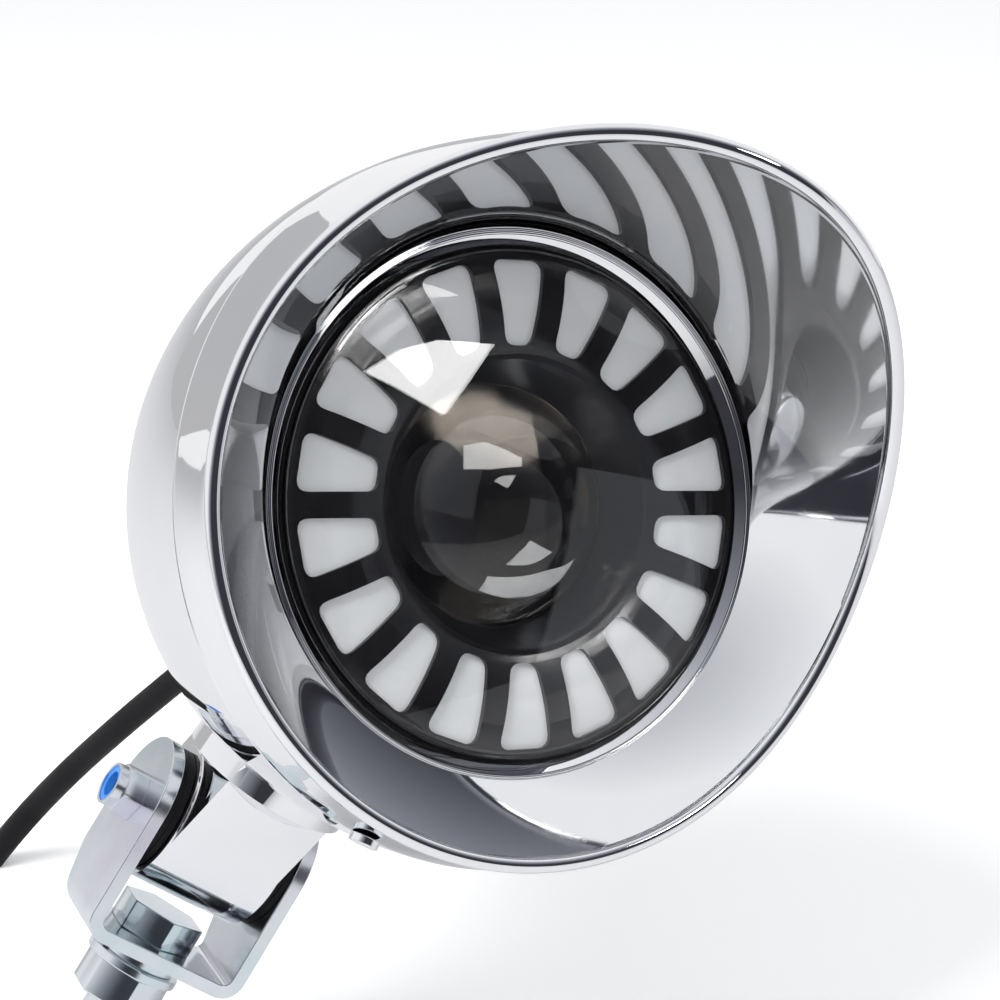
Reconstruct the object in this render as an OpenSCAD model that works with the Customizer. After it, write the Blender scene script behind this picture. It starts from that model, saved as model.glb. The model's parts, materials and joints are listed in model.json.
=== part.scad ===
// Spotlight for a motorcycle: a chrome bullet housing with a peaked trim ring, a lens module
// with a ring of eighteen lit windows, and a tilting foot in a U-shaped bracket.
// The stud of the bracket points down, the lamp faces -Y, and the free end of the stud is the origin.

/* [Mounting bolt] */
// Diameter of the mounting bolt
stud_d = 10; // [8:1:12]
// Diameter that the mounting bolt and its nut share inside their thread
thread_d = 9; // [7:0.1:11]
// Diameter of the mounting bolt's shoulder, which the bracket turns on
shoulder_d = 10.6; // [9:0.1:12.6]
// Length of the mounting bolt under its head
stud_l = 30; // [26:1:50]
// Height of the mounting bolt's head
stud_head_h = 6.4; // [5:0.2:6.4]
// Width across flats of the mounting bolt's head and nut
stud_flats = 17; // [15:1:18]
// Height of the mounting nut
stud_nut_h = 8; // [6:0.5:10]
// Thickness of the spring washer
spring_t = 2.6; // [2:0.2:3]
// Outer diameter of the spring washer
spring_d = 18; // [17:0.5:20]
// Width of the slit in the spring washer
spring_slit = 2; // [1:0.5:3]
// Thickness of the flat washer
flat_t = 2; // [1.5:0.5:3]
// Outer diameter of the flat washer
flat_d = 21; // [19:1:26]

/* [Bracket] */
// Thickness of the bracket's sheet
sheet_t = 3; // [2:0.5:3.5]
// Width of the bracket's strip, front to back
strip_w = 28; // [26:1:34]
// Gap between the bracket's two flanges
flange_gap = 32; // [30:1:38]
// Height of the tilt axis over the bracket's underside
pivot_h = 28; // [27.5:0.5:36]
// Outer radius of the bracket's two bends
bend_r = 5; // [4:0.5:6]
// Width of the clipped lower corner at the back of each flange
clip_w = 6; // [2:1:6]
// Height of the clipped lower corner at the back of each flange
clip_h = 13; // [8:1:14]

/* [Tilt joint] */
// Diameter of the cross bolt
cross_d = 6; // [5:0.5:8]
// Diameter of the cross bolt's round head
cross_head_d = 12; // [11:0.5:14]
// Height of the cross bolt's round head
cross_head_h = 4; // [3:0.5:6]
// Width across flats of the lock nut
lock_flats = 10; // [9.5:0.5:13]
// Height of the lock nut's hexagon
lock_hex_h = 4.4; // [3:0.2:6]
// Height of the round collar that holds the nylon ring
lock_collar_h = 2.2; // [1.5:0.1:3]
// Radial running clearance of the joint's bores
run_gap = 0.05; // [0.02:0.01:0.1]
// Radial clearance of a bolt hole
hole_gap = 0.3; // [0.1:0.05:0.5]
// Thickness of one rubber washer
rubber_t = 1.5; // [1:0.5:2]
// Diameter of the rubber washers
rubber_d = 27; // [20:1:28]
// Gap between a washer and the foot that turns beside it
side_gap = 0.1; // [0.05:0.05:0.3]

/* [Foot] */
// Radius of the foot's barrel round the cross bolt
barrel_r = 15; // [13:0.5:15]
// Lean of the foot's arm from the lamp's upright, towards the front
arm_lean = 41; // [36:1:44]
// How far the arm's front and back faces sit inside the barrel's
arm_inset = 0.5; // [0.3:0.1:2]
// Diameter of the foot's plate against the housing
plate_d = 37; // [34:1:40]
// Thickness of the foot's plate at its rim
plate_t = 3; // [2:0.5:4]
// Diameter of the bolt that holds the foot to the housing
foot_bolt_d = 8; // [6:1:8]
// Depth that the foot's bolt reaches into the foot
foot_bolt_reach = 11; // [8:1:12]

/* [Lamp] */
// Tilt of the lamp above the level, as the photograph has it
lamp_tilt = 14; // [0:1:20]
// Distance of the tilt axis behind the front of the glass
pivot_back = 71.8; // [70:0.2:74]
// Distance of the tilt axis below the housing at its mouth
pivot_clear = 7; // [6:0.5:10]
// Radius of the housing at its mouth
house_r = 72; // [71:0.5:73]
// Length of the bullet-shaped housing
house_l = 103; // [101:1:106]
// Wall of the housing
house_wall = 1.5; // [1:0.1:2]
// Distance of the housing's mouth behind the front of the glass
seam_back = 3.3; // [3:0.1:5]

/* [Trim ring] */
// Gap between the window mask and the edge of the ring's opening
sight_gap = 0.3; // [0.2:0.1:1]
// Width of the flat rim, from the opening to the foot of the bowl
rim_w = 2.8; // [2.4:0.1:4.8]
// How far the bowl swells from a straight cone, as a share of its width
bowl_swell = 0.12; // [0:0.01:0.2]
// Depth of the ring's lip at the lamp's sides and bottom
lip_low = 11; // [10.5:0.5:20]
// Extra depth of the lip at the peak of the hood
peak = 43; // [10:1:60]
// How sharply the peak rises, as a power
peak_power = 6.6; // [3:0.2:9]
// Diameter of the rolled hem along the lip
hem_d = 3.3; // [2.6:0.1:4]
// Wall of the trim ring
ring_wall = 1.6; // [1.2:0.1:2]
// How far the hood's outside stands inside the ring's skirt
hood_step = 0.4; // [0:0.1:1]
// How much the hood closes in towards its tip, in mm at 30 mm of depth
hood_close = 1.9; // [0:0.1:4]

/* [Glass and light ring] */
// Width of the glass's edge that the flat rim covers
glass_lap = 1.8; // [1.2:0.1:2.2]
// Thickness of the front glass
glass_t = 2; // [1.5:0.1:2]
// Rise of the front glass from its edge to its middle
glass_rise = 6; // [6:0.5:10]
// Outer radius of the window mask
mask_r = 49.9; // [48:0.1:52]
// Inner radius of the window mask
mask_inner_r = 29.8; // [29:0.1:30.2]
// Wall of the window mask
mask_t = 1.2; // [0.8:0.1:1.2]
// Rise of the window mask between its two edges
mask_rise = 1.7; // [1:0.1:1.7]
// Number of windows
window_n = 18; // [8:1:24]
// Width of the bars between the windows
bar_w = 5; // [3:0.5:7]
// Outer radius of the windows
window_r = 48.2; // [46:0.1:48.6]
// Inner radius of the windows
window_inner_r = 31.2; // [30.8:0.1:34]
// Radius of the windows' rounded corners
window_corner = 2.4; // [1:0.1:3]
// Turn of the window pattern about the lamp's axis
window_turn = 19; // [0:1:40]

/* [Projector] */
// Radius of the projector lens at its rim
lens_r = 25.5; // [25.2:0.1:26]
// Radius of the opening that the shroud leaves over the lens
shroud_r = 24.2; // [23:0.1:24.4]
// Depth of the lens's seat behind the front of the glass
lens_back = 12.6; // [12:0.1:14]
// Rise of the projector lens over its seat
lens_rise = 11.6; // [8:0.2:12]
// Thickness of the projector lens at its rim
lens_edge_t = 3.4; // [2:0.2:4]

/* [Module] */
// Depth of the module's case behind the front of the glass
case_back = 27; // [26:0.5:30]
// Length of the barrel from the case to the heat sink
tube_l = 24; // [20:1:26]
// Radius of the heat sink's plate
sink_r = 44; // [40:1:46]
// Number of fins on the heat sink
fin_n = 11; // [5:2:15]
// Thickness of a fin
fin_t = 1.6; // [1:0.1:2]
// Length of the fins
fin_l = 20; // [10:1:21]
// Radius of the board that carries the main LED
main_board_r = 15; // [12:1:18]
// Width of the driver's box
driver_w = 34; // [24:1:36]
// Length of the driver's box, front to back
driver_l = 13; // [8:1:14]
// Height of the driver's box
driver_h = 24; // [16:1:26]

/* [Cord] */
// Diameter of the cord
cord_d = 6.5; // [5:0.5:7]
// Thickness of the grommet's flanges
grommet_t = 2.2; // [1.5:0.1:3]
// Diameter of the grommet's flanges
grommet_d = 16; // [14:0.5:18]
// Diameter of the hole for the grommet
grommet_hole_d = 11; // [10:0.5:12]

/* [Hidden] */
$fn = 96;
tiny = 0.01;

// Heights along the mounting bolt
base_z = stud_l - sheet_t;
pivot_z = base_z + pivot_h;
flat_z = base_z - spring_t - flat_t;
nut_z = flat_z - stud_nut_h;

// Widths across the tilt joint
gap_half = flange_gap / 2;
bracket_half = gap_half + sheet_t;
foot_w = flange_gap - 4 * rubber_t - 2 * side_gap;

// Height of the tilt axis under the lamp's own axis
pivot_drop = house_r + pivot_clear;

// The trim ring and what sits behind it
hood_r = house_r - hood_step;
sight_r = mask_r + sight_gap;
rim_r = sight_r + rim_w;
glass_r = sight_r + glass_lap;
rim_front = 0.6;
rim_under = -0.2;
glass_front = rim_under - 0.55;
case_front = -seam_back;
gasket_r = rim_r + 0.5;
case_r = rim_r + 3;
case_wall = 2;
mask_edge = -2.4;
board_t = 1.4;
board_z = -10;
board_r = mask_r - 0.4;
case_bottom = -case_back;
tube_back = case_bottom - tube_l;
sink_t = 4;

// The foot's plate is centred where the arm's axis meets the housing
plate_back = 55.4;

// The grommet sits near the tail of the housing, square to its wall
exit_back = 96.7;

// Route of the cord from the grommet's mouth, chosen by hand
CORD = [[0, 43.5, 97.8], [0, 48, 93.5], [0, 54, 87.8], [0, 61, 80.8], [0, 68, 73.6], [0, 75, 66.2],
    [0, 82, 58.6], [0, 89, 50.6], [0, 96, 42.2], [0, 102.6, 33.4], [0, 108.6, 24.2], [0, 113.8, 14.4],
    [0, 118, 4], [0, 121, -7], [0, 122.8, -18.4], [0, 123.6, -30], [0, 123.8, -42], [0, 123.8, -56],
    [0, 123.8, -70], [0, 123.8, -84], [0, 123.8, -98], [0, 123.8, -112], [0, 123.8, -126]];
cord_end = CORD[len(CORD) - 1];

// Colours
chrome = [0.82, 0.83, 0.85];
zinc = [0.72, 0.76, 0.78];
black = [0.06, 0.06, 0.07];
clear = [0.85, 0.9, 0.92, 0.35];

// Points of an arc from angle a0 to a1 round c
function arc(c, r, a0, a1, n) =
    [for (i = [0:n]) c + r * [cos(a0 + (a1 - a0) * i / n), sin(a0 + (a1 - a0) * i / n)]];

// Rise of a shallow dome of radius edge and height rise, at radius r
function dome(r, edge, rise) =
    let (ball = (edge * edge + rise * rise) / (2 * rise)) sqrt(ball * ball - r * r) - ball + rise;

// Radius of an ellipse of half-width r and length l, at distance s from its middle
function bullet(r, l, s) = r * sqrt(max(0, 1 - s * s / (l * l)));

// A round piece on the lamp's axis: points are [radius, depth towards the front]
module lathe(points) rotate([90, 0, 0]) rotate_extrude() polygon(points);

// A disc or ring on the lamp's axis, between two depths
module ring(r_out, r_in, back, front) lathe([[r_in, back], [r_out, back], [r_out, front], [r_in, front]]);

// Puts what is drawn in the lamp's own frame (front of the glass at the origin) into the part
module lamp_place() translate([0, 0, pivot_z]) rotate([-lamp_tilt, 0, 0])
    translate([0, -pivot_back, pivot_drop]) children();

// Solid of the housing's outer or inner form, mouth to tail
module bullet_solid(r, l) {
    steps = 40;
    lathe(concat([[0, -seam_back]], [for (i = [0:steps]) let (a = 90 * i / steps)
        [r * cos(a), -seam_back - l * sin(a)]]));
}

// Places a child square to the housing's wall at a distance behind the mouth, pointing outwards
module on_wall(back) {
    r = bullet(house_r, house_l, back);
    turn = atan2(back / (house_l * house_l), r / (house_r * house_r));
    translate([0, seam_back + back, -r]) rotate([180 + turn, 0, 0]) children();
}

module housing_shell() color(chrome) lamp_place() difference() {
    bullet_solid(house_r, house_l);
    bullet_solid(house_r - house_wall, house_l - house_wall);
    ring(house_r - house_wall, 0, -seam_back - tiny, -seam_back + 1);
    on_wall(exit_back) cylinder(d = grommet_hole_d, h = 12, center = true);
    on_wall(plate_back - seam_back) cylinder(d = foot_bolt_d + 2 * hole_gap, h = 16, center = true);
}

// Depth of the lip at an angle from the lamp's top
function lip(a) = lip_low + peak * pow(abs(cos(a / 2)), peak_power);
// Outer radius of the hood at a depth
function hood(d) = hood_r - hood_close * pow(max(0, d) / 30, 1.6);
// Point of the bowl's curve between its two ends a and b, at a share t of the way
function bowl(a, b, t) =
    let (c = (a + b) / 2 + bowl_swell * [b[0] - a[0], a[1] - b[1]])
    (1 - t) * (1 - t) * a + 2 * t * (1 - t) * c + t * t * b;
// The same point moved to the back of the sheet
function bowl_back(a, b, t) =
    let (step = bowl(a, b, t + 0.01) - bowl(a, b, t - 0.01))
    bowl(a, b, t) + ring_wall * [step[1], -step[0]] / norm(step);
// Section of the trim ring at a lip depth: skirt, hollow, seat, bowl, rolled hem and outside
function ring_section(d) =
    let (
        hem_c = [hood(d) - hem_d / 2, d - hem_d / 2],
        foot = [rim_r, rim_front],
        head = hem_c + hem_d / 2 * [cos(215), sin(215)],
        turn = bowl_back(foot, head, 0.75),
        skin = ring_wall + (hem_d - ring_wall) / 2,
        up = [0.25, 0.5, 0.75, 1]
    )
    concat(
        [[house_r, -seam_back], [house_r - ring_wall, -seam_back]],
        [for (z = [turn[1] / 2, turn[1]]) [hood(z) - skin, z]],
        [for (t = [0.75, 0.6, 0.45, 0.3, 0.15]) bowl_back(foot, head, t)],
        [[rim_r + 5, -seam_back], [gasket_r + 0.1, -seam_back], [gasket_r + 0.1, rim_under]],
        [[sight_r, rim_under], [sight_r, rim_front - 0.4], [sight_r + 0.4, rim_front - 0.1],
            [sight_r + 1, rim_front]],
        [for (i = [0:13]) bowl(foot, head, i / 13)],
        arc(hem_c, hem_d / 2, 205, -55, 12),
        [for (s = up) let (z = hem_c[1] - hem_d * 0.6 - (hem_c[1] - hem_d * 0.6 + seam_back) * s * 0.9)
            [hood(z) - (hem_d - ring_wall) / 2 * (1 - s) + (house_r - hood_r) * s, z]]
    );

module visor_ring() {
    steps = 96;
    sections = [for (i = [0:steps - 1]) let (a = 360 * i / steps)
        [for (p = ring_section(lip(a))) [p[0] * sin(a), -p[1], p[0] * cos(a)]]];
    m = len(sections[0]);
    points = [for (s = sections) for (p = s) p];
    faces = [for (i = [0:steps - 1]) for (j = [0:m - 1])
        let (i2 = (i + 1) % steps, j2 = (j + 1) % m)
        [i * m + j, i * m + j2, i2 * m + j2, i2 * m + j]];
    color(chrome) lamp_place() polyhedron(points, faces);
}

module front_glass() {
    steps = 12;
    face = [for (i = [0:steps]) let (r = glass_r * i / steps) [r, glass_front + dome(r, glass_r, glass_rise)]];
    back = [for (i = [steps:-1:0]) let (r = glass_r * i / steps)
        [r, glass_front - glass_t + dome(r, glass_r, glass_rise)]];
    color(clear) lamp_place() lathe(concat(face, back));
}

// The rubber channel round the edge of the glass
module glass_gasket() color(black) lamp_place() lathe([[sight_r + 0.1, case_front], [gasket_r, case_front],
    [gasket_r, rim_under], [glass_r, rim_under], [glass_r, glass_front - glass_t],
    [sight_r + 0.1, glass_front - glass_t]]);

// Depth of the light ring's crowned face at a radius
function crown(r) = mask_edge + dome(abs(r - (mask_r + mask_inner_r) / 2), (mask_r - mask_inner_r) / 2, mask_rise);
function crown_points(r0, r1, drop, n) = [for (i = [0:n]) let (r = r0 + (r1 - r0) * i / n) [r, crown(r) - drop]];

// Outline of one window: two round ends, two straight sides and four rounded corners
function corner(a, c, b) = [for (t = [0:0.25:1]) (1 - t) * (1 - t) * a + 2 * t * (1 - t) * c + t * t * b];
function polar(r, a) = r * [cos(a), sin(a)];
function window_edge(r) = 180 / window_n - asin(bar_w / 2 / r);
function window_outline() =
    let (
        ao = window_edge(window_r),
        ai = window_edge(window_inner_r),
        co = window_corner / window_r * 57.3,
        ci = window_corner / window_inner_r * 57.3,
        so = window_r - window_corner,
        si = window_inner_r + window_corner,
        right = concat(
            corner(polar(window_inner_r, -ai + ci), polar(window_inner_r, -ai), polar(si, -window_edge(si))),
            corner(polar(so, -window_edge(so)), polar(window_r, -ao), polar(window_r, -ao + co))
        )
    )
    concat(right, [for (i = [len(right) - 1:-1:0]) [right[i][0], -right[i][1]]]);

module window_mask() color(black) lamp_place() difference() {
    lathe(concat(crown_points(mask_inner_r, mask_r, 0, 14), [[mask_r, board_z + board_t],
        [mask_r - 1, board_z + board_t]], crown_points(mask_r - 1, mask_inner_r, mask_t, 14)));
    rotate([90, 0, 0]) for (i = [0:window_n - 1]) rotate(window_turn + 360 / window_n * i)
        translate([0, 0, mask_edge - 2 * mask_t]) linear_extrude(8) polygon(window_outline());
}

// The milky ring that shows through the windows
module diffuser_ring() color([0.96, 0.97, 0.98]) lamp_place()
    lathe(concat(crown_points(mask_inner_r + 0.1, mask_r - 1.1, mask_t + 0.02, 14),
        [[mask_r - 1.1, -7], [mask_inner_r + 0.1, -7]]));

module ring_led_board() color([0.1, 0.35, 0.2]) lamp_place() ring(board_r, mask_inner_r + 0.1, board_z, board_z + board_t);

module ring_leds() {
    led = [3.5, 2.8, 0.9];
    middle = (mask_r + mask_inner_r) / 2;
    color([0.95, 0.9, 0.55]) lamp_place() rotate([90, 0, 0])
        for (i = [0:window_n - 1]) rotate(window_turn + 360 / window_n * i)
            translate([middle - led[0] / 2, -led[1] / 2, board_z + board_t]) cube(led);
}

// The dark cone between the light ring and the projector lens
module lens_shroud() color(black) lamp_place() lathe([[mask_inner_r - 0.1, mask_edge - 0.2],
    [mask_inner_r - 1.2, mask_edge - 0.2], [shroud_r + 0.4, 1.4 - lens_back], [shroud_r, 0.8 - lens_back],
    [shroud_r, 0.2 - lens_back + tiny], [mask_inner_r - 0.1, 0.2 - lens_back + tiny]]);

module projector_lens() {
    steps = 12;
    face = [for (i = [0:steps]) let (r = shroud_r * i / steps) [r, -lens_back + dome(r, shroud_r, lens_rise)]];
    color(clear) lamp_place() lathe(concat([[0, -lens_back - lens_edge_t]], face,
        [[lens_r, -lens_back], [lens_r, -lens_back - lens_edge_t]]));
}

module lens_holder() color(zinc) lamp_place() lathe([[lens_r, -lens_back + 0.1], [lens_r + 3.2, -lens_back + 0.1],
    [lens_r + 3.2, case_bottom + case_wall], [lens_r - 2, case_bottom + case_wall],
    [lens_r - 2, -lens_back - lens_edge_t], [lens_r, -lens_back - lens_edge_t]]);

module reflector_bowl() {
    steps = 8;
    length = tube_l - 3;
    wall = 1.5;
    inside = [for (i = [0:steps]) let (a = 80 * i / steps) [(lens_r - 4) * cos(a), case_bottom - length * sin(a)]];
    outside = [for (i = [steps:-1:0]) let (a = 80 * i / steps)
        [(lens_r - 4 + wall) * cos(a), case_bottom - (length + wall / 2) * sin(a)]];
    color(chrome) lamp_place() lathe(concat(inside, outside));
}

module main_led_board() color([0.2, 0.3, 0.25]) lamp_place() ring(main_board_r, 0, tube_back, tube_back + board_t);

module main_led() color([0.95, 0.85, 0.3]) lamp_place()
    translate([0, -tube_back - board_t - 0.5, 0]) cube([5, 1, 5], center = true);

module module_case() color([0.15, 0.15, 0.16]) lamp_place() lathe([[mask_r + 0.1, case_front],
    [case_r, case_front], [case_r, case_front - 2.7], [mask_r + case_wall, case_front - 2.7],
    [mask_r + case_wall, case_bottom], [lens_r - 2, case_bottom], [lens_r - 2, case_bottom + case_wall],
    [mask_r - 2, case_bottom + case_wall], [mask_r - 2, board_z], [mask_r + 0.1, board_z]]);

module module_tube() color([0.2, 0.2, 0.21]) lamp_place() ring(lens_r + 10, lens_r + 7, tube_back, case_bottom);

module heat_sink() color([0.6, 0.62, 0.64]) lamp_place() rotate([90, 0, 0]) union() {
    translate([0, 0, tube_back - sink_t]) cylinder(r = sink_r, h = sink_t);
    translate([0, 0, tube_back - sink_t - fin_l]) intersection() {
        cylinder(r = sink_r - 6, h = fin_l + tiny);
        for (i = [0:fin_n - 1]) translate([(i - (fin_n - 1) / 2) * 2 * (sink_r - 8) / fin_n - fin_t / 2, -sink_r, 0])
            cube([fin_t, 2 * sink_r, fin_l + tiny]);
    }
}

module driver_box() color([0.25, 0.25, 0.28]) lamp_place()
    translate([-driver_w / 2, sink_t + fin_l - tube_back, -driver_h / 2]) cube([driver_w, driver_l, driver_h]);

// The steel ring inside the housing's mouth that the module's rim rests on
module mouth_ring() color(zinc) lamp_place()
    ring(bullet(house_r - house_wall, house_l - house_wall, 4.7), mask_r + case_wall + 0.3, -seam_back - 4.7,
        -seam_back - 2.7);

// The screw that holds the trim ring, under the lamp
module ring_screw() color(chrome) lamp_place() translate([0, 1, -house_r]) rotate([180, 0, 0])
    cylinder(d = 6, h = 1.6, $fn = 32);

// The foot: a barrel round the cross bolt, an arm and a flared plate against the housing
module knuckle_foot() color(chrome) difference() {
    union() {
        translate([0, 0, pivot_z]) rotate([-lamp_tilt, 0, 0]) {
            rotate([0, 90, 0]) cylinder(r = barrel_r, h = foot_w, center = true);
            rotate([arm_lean, 0, 0]) translate([-foot_w / 2 + arm_inset, -barrel_r + arm_inset, 0])
                cube([foot_w - 2 * arm_inset, 2 * (barrel_r - arm_inset), 34]);
        }
        lamp_place() on_wall(plate_back - seam_back) {
            rotate_extrude() polygon([[0, -6], [plate_d / 2, -6], [plate_d / 2, plate_t],
                [plate_d / 2 - 6, plate_t + 3], [0, plate_t + 3]]);
        }
    }
    lamp_place() bullet_solid(house_r, house_l);
    translate([0, 0, pivot_z]) rotate([0, 90, 0]) cylinder(d = cross_d + 2 * run_gap, h = foot_w + 2, center = true);
    lamp_place() on_wall(plate_back - seam_back) translate([0, 0, -plate_t])
        cylinder(d = foot_bolt_d, h = plate_t + foot_bolt_reach);
}

// The bolt from inside the housing into the foot
module foot_bolt() {
    seat = house_wall + 2.6;
    color(zinc) lamp_place() on_wall(plate_back - seam_back) difference() {
        union() {
            translate([0, 0, -seat]) cylinder(d = foot_bolt_d, h = seat + foot_bolt_reach);
            translate([0, 0, -seat - foot_bolt_d * 0.75]) cylinder(d = foot_bolt_d * 1.6, h = foot_bolt_d * 0.75);
        }
        translate([0, 0, -seat - foot_bolt_d]) cylinder(d = foot_bolt_d * 0.8, h = foot_bolt_d * 0.7, $fn = 6);
    }
}

module foot_bolt_washer() color(zinc) lamp_place() intersection() {
    bullet_solid(house_r - house_wall, house_l - house_wall);
    on_wall(plate_back - seam_back) translate([0, 0, -house_wall - 2.6]) difference() {
        cylinder(d = foot_bolt_d * 2.4, h = 3.5);
        translate([0, 0, -1]) cylinder(d = foot_bolt_d + hole_gap, h = 6);
    }
}

module cord_grommet() color(black) lamp_place() on_wall(exit_back) difference() {
    union() {
        cylinder(d = grommet_d, h = grommet_t);
        translate([0, 0, grommet_t]) cylinder(d1 = grommet_d - 4, d2 = cord_d + 2.4, h = 3);
        translate([0, 0, -house_wall]) cylinder(d = grommet_hole_d - 0.2, h = house_wall + tiny);
    }
    translate([0, 0, -10]) cylinder(d = cord_d, h = 20);
}

// A round tube with flat ends swept along a list of points in the plane x = 0
function side(p, i) = let (a = p[max(0, i - 1)], b = p[min(len(p) - 1, i + 1)], t = (b - a) / norm(b - a)) [0, -t[2], t[1]];
module tube(p, r, n) {
    points = [for (i = [0:len(p) - 1]) for (j = [0:n - 1])
        p[i] + r * cos(360 * j / n) * [1, 0, 0] + r * sin(360 * j / n) * side(p, i)];
    walls = [for (i = [0:len(p) - 2]) for (j = [0:n - 1])
        let (k = (j + 1) % n) [i * n + j, i * n + k, (i + 1) * n + k, (i + 1) * n + j]];
    ends = [[for (j = [n - 1:-1:0]) j], [for (j = [0:n - 1]) (len(p) - 1) * n + j]];
    polyhedron(points, concat(walls, ends));
}

module cord() color(black) tube(CORD, cord_d / 2, 12);

// The shrunk sleeve where the cord's jacket ends
module cord_sleeve() color(black) translate(cord_end - [0, 0, 16]) cylinder(d1 = cord_d - 0.6, d2 = cord_d + 0.8, h = 16);

// Three leads side by side, with a bullet terminal on each
lead_x = [-2, 0, 2];
lead_l = 26;
module lead_wires() color([0.6, 0.05, 0.05]) translate(cord_end - [0, 0, 16 + lead_l])
    for (x = lead_x) translate([x, 0, 0]) cylinder(d = 1.8, h = lead_l, $fn = 24);

module lead_terminals() color([0.85, 0.7, 0.35]) translate(cord_end - [0, 0, 16 + lead_l + 9])
    for (x = lead_x) translate([x, 0, 0]) {
        cylinder(d = 1.7, h = 9, $fn = 24);
        sphere(d = 1.7, $fn = 24);
    }

// Side view of the bracket: upright with a round top and a clipped corner at the back
module flange_outline() difference() {
    union() {
        translate([-strip_w / 2, base_z]) square([strip_w, pivot_h]);
        translate([0, pivot_z]) circle(d = strip_w);
    }
    polygon([[strip_w / 2 - clip_w, base_z - 1], [strip_w / 2 - clip_w, base_z], [strip_w / 2, base_z + clip_h],
        [strip_w / 2 + 1, base_z + clip_h], [strip_w / 2 + 1, base_z - 1]]);
}

// Front view of the bracket: one strip bent twice
module strip_outline() {
    top = pivot_z + strip_w;
    outer = concat([[-bracket_half, top]], arc([-bracket_half + bend_r, base_z + bend_r], bend_r, 180, 270, 8),
        arc([bracket_half - bend_r, base_z + bend_r], bend_r, 270, 360, 8), [[bracket_half, top]]);
    r = bend_r - sheet_t;
    inner = concat([[gap_half, top]], arc([gap_half - r, stud_l + r], r, 360, 270, 6),
        arc([-gap_half + r, stud_l + r], r, 270, 180, 6), [[-gap_half, top]]);
    polygon(concat(outer, inner));
}

module u_bracket() color(zinc) difference() {
    intersection() {
        translate([0, strip_w, 0]) rotate([90, 0, 0]) linear_extrude(2 * strip_w) strip_outline();
        translate([-bracket_half - 1, 0, 0]) rotate([90, 0, 90]) linear_extrude(2 * bracket_half + 2) flange_outline();
    }
    translate([0, 0, base_z - 1]) cylinder(d = shoulder_d + 2 * run_gap, h = sheet_t + 2);
    translate([0, 0, pivot_z]) rotate([0, 90, 0]) cylinder(d = cross_d + 2 * run_gap, h = 2 * bracket_half + 2, center = true);
}

module cross_bolt() color([0.85, 0.8, 0.6]) translate([0, 0, pivot_z]) rotate([0, 90, 0]) {
    translate([0, 0, -bracket_half - lock_hex_h]) cylinder(d = cross_d, h = 2 * bracket_half + lock_hex_h);
    translate([0, 0, bracket_half]) cylinder(d = cross_head_d, h = cross_head_h * 0.4);
    translate([0, 0, bracket_half + cross_head_h * 0.4])
        cylinder(d1 = cross_head_d, d2 = cross_head_d * 0.7, h = cross_head_h * 0.6);
}

// Two rubber discs on each side of the foot
module rubber_washers() color(black) translate([0, 0, pivot_z]) rotate([0, 90, 0])
    for (x = [-gap_half, -gap_half + rubber_t + tiny, gap_half - rubber_t, gap_half - 2 * rubber_t - tiny])
        translate([0, 0, x]) difference() {
            cylinder(d = rubber_d, h = rubber_t);
            translate([0, 0, -1]) cylinder(d = cross_d + hole_gap, h = rubber_t + 2);
        }

// A hexagon of a width across flats, with its corners eased
module hexagon(flats, h) intersection() {
    rotate(30) cylinder(d = flats / cos(30), h = h, $fn = 6);
    cylinder(d = flats / cos(30) - 0.4, h = h);
}

module lock_nut() color(zinc) translate([-bracket_half, 0, pivot_z]) rotate([0, -90, 0]) difference() {
    union() {
        hexagon(lock_flats, lock_hex_h);
        translate([0, 0, lock_hex_h - tiny]) cylinder(d = lock_flats - 0.6, h = lock_collar_h);
    }
    translate([0, 0, -1]) cylinder(d = cross_d, h = lock_hex_h + 1);
    translate([0, 0, lock_hex_h - tiny]) cylinder(d = lock_flats - 2, h = lock_collar_h + 1);
}

module nylon_ring() color([0.1, 0.35, 0.8]) translate([-bracket_half, 0, pivot_z]) rotate([0, -90, 0]) difference() {
    translate([0, 0, lock_hex_h]) cylinder(d = lock_flats - 2, h = lock_collar_h - 0.3);
    translate([0, 0, lock_hex_h - 1]) cylinder(d = cross_d - 0.6, h = lock_collar_h + 2);
}

// The mounting bolt: free thread up to its nut, a shoulder through the washers and the bracket, and a head
module mount_bolt() color(zinc) union() {
    cylinder(d = stud_d, h = nut_z);
    cylinder(d = thread_d, h = stud_l);
    translate([0, 0, flat_z]) cylinder(d = shoulder_d, h = stud_l - flat_z + tiny);
    translate([0, 0, stud_l]) hexagon(stud_flats, stud_head_h);
}

module spring_washer() color(zinc) translate([0, 0, flat_z + flat_t]) difference() {
    cylinder(d = spring_d, h = spring_t);
    translate([0, 0, -1]) cylinder(d = shoulder_d + hole_gap, h = spring_t + 2);
    rotate(200) translate([0, -spring_slit / 2, -1]) cube([spring_d, spring_slit, spring_t + 2]);
}

module flat_washer() color(zinc) translate([0, 0, flat_z]) difference() {
    cylinder(d = flat_d, h = flat_t);
    translate([0, 0, -1]) cylinder(d = shoulder_d + hole_gap, h = flat_t + 2);
}

module mount_nut() color(zinc) translate([0, 0, nut_z]) difference() {
    hexagon(stud_flats, stud_nut_h);
    translate([0, 0, -1]) cylinder(d = thread_d, h = stud_nut_h + 2);
}

housing_shell();
visor_ring();
front_glass();
glass_gasket();
window_mask();
diffuser_ring();
ring_led_board();
ring_leds();
lens_shroud();
projector_lens();
lens_holder();
reflector_bowl();
main_led_board();
main_led();
module_case();
module_tube();
heat_sink();
driver_box();
mouth_ring();
ring_screw();
knuckle_foot();
foot_bolt();
foot_bolt_washer();
cord_grommet();
cord();
cord_sleeve();
lead_wires();
lead_terminals();
u_bracket();
cross_bolt();
rubber_washers();
lock_nut();
nylon_ring();
mount_bolt();
spring_washer();
flat_washer();
mount_nut();
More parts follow.
